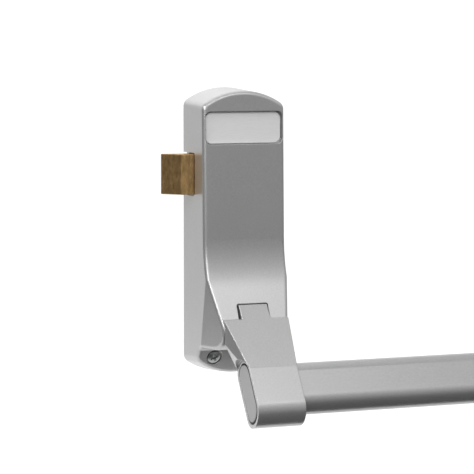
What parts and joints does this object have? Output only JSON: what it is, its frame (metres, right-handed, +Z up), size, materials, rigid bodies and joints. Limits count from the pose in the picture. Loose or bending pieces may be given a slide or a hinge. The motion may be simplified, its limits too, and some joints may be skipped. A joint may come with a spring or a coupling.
{
  "type": "panic latch",
  "caption": "Panic latch for a door: a silver cast housing with a brass bolt, and the pivoting arm and oval push bar that draw it.",
  "frame": {"origin": "centre of the back plate's face on the door", "axes": "+Z up, +Y into the door, +X along the push bar"},
  "size_m": [0.2928, 0.0959, 0.2459],
  "materials": {
    "silver_paint": "satin",
    "bar_paint": "satin",
    "plate_satin": "satin",
    "cap_grey": "matte",
    "bolt_brass": "satin",
    "bush_bronze": "satin",
    "spring_steel": "satin",
    "screw_steel": "satin",
    "zinc_steel": "satin"
  },
  "bodies": {
    "housing_body": {"back_plate": "zinc_steel", "bolt_spring": "spring_steel", "bolt_strap_front": "zinc_steel", "bolt_strap_rear": "zinc_steel", "bracket_rivets": "zinc_steel", "cover": "silver_paint", "crank_clip": "zinc_steel", "crank_pin": "zinc_steel", "lift_spring": "spring_steel", "lower_lug_left": "zinc_steel", "lower_lug_right": "zinc_steel", "lower_screw_left": "screw_steel", "lower_screw_right": "screw_steel", "name_plate": "plate_satin", "pivot_bracket": "zinc_steel", "pivot_shaft": "zinc_steel", "shaft_clip_left": "zinc_steel", "shaft_clip_right": "zinc_steel", "slide_bridge": "zinc_steel", "slide_rivet": "zinc_steel", "spring_bracket": "zinc_steel", "upper_post": "zinc_steel", "upper_screw": "screw_steel"},
    "arm_body": {"arm": "silver_paint", "arm_bush_left": "bush_bronze", "arm_bush_right": "bush_bronze", "push_bar": "bar_paint", "bar_end_cap": "cap_grey", "clamp_screws": "screw_steel"},
    "slide_body": {"lift_slide": "zinc_steel"},
    "crank_body": {"bell_crank": "zinc_steel", "crank_bush": "bush_bronze"},
    "bolt_body": {"latch_bolt": "bolt_brass"}
  },
  "joints": [
    {"name": "arm_pivot", "type": "hinge", "parent": "housing_body", "child": "arm_body", "pos_m": [0, -0.045, -0.0719], "axis": [1, 0, 0], "range_deg": [0, 22], "stiffness_Nm_per_rad": 1.5, "springref_deg": -34.38},
    {"name": "slide_lift", "type": "slide", "parent": "housing_body", "child": "slide_body", "axis": [0, 0, 1], "range_m": [0, 0.01025], "deforming": ["lift_spring"]},
    {"name": "crank_turn", "type": "hinge", "parent": "housing_body", "child": "crank_body", "pos_m": [0.008, -0.0101, 0.0058], "axis": [0, 1, 0], "range_deg": [0, 41.9]},
    {"name": "bolt_draw", "type": "slide", "parent": "housing_body", "child": "bolt_body", "axis": [1, 0, 0], "range_m": [0, 0.02005], "deforming": ["bolt_spring"]}
  ],
  "couplings": [
    {"joint": "slide_lift", "follows": "arm_pivot", "m_per_rad": 0.0266},
    {"joint": "crank_turn", "follows": "arm_pivot", "ratio": 1.9023},
    {"joint": "bolt_draw", "follows": "arm_pivot", "m_per_rad": 0.052087}
  ]
}
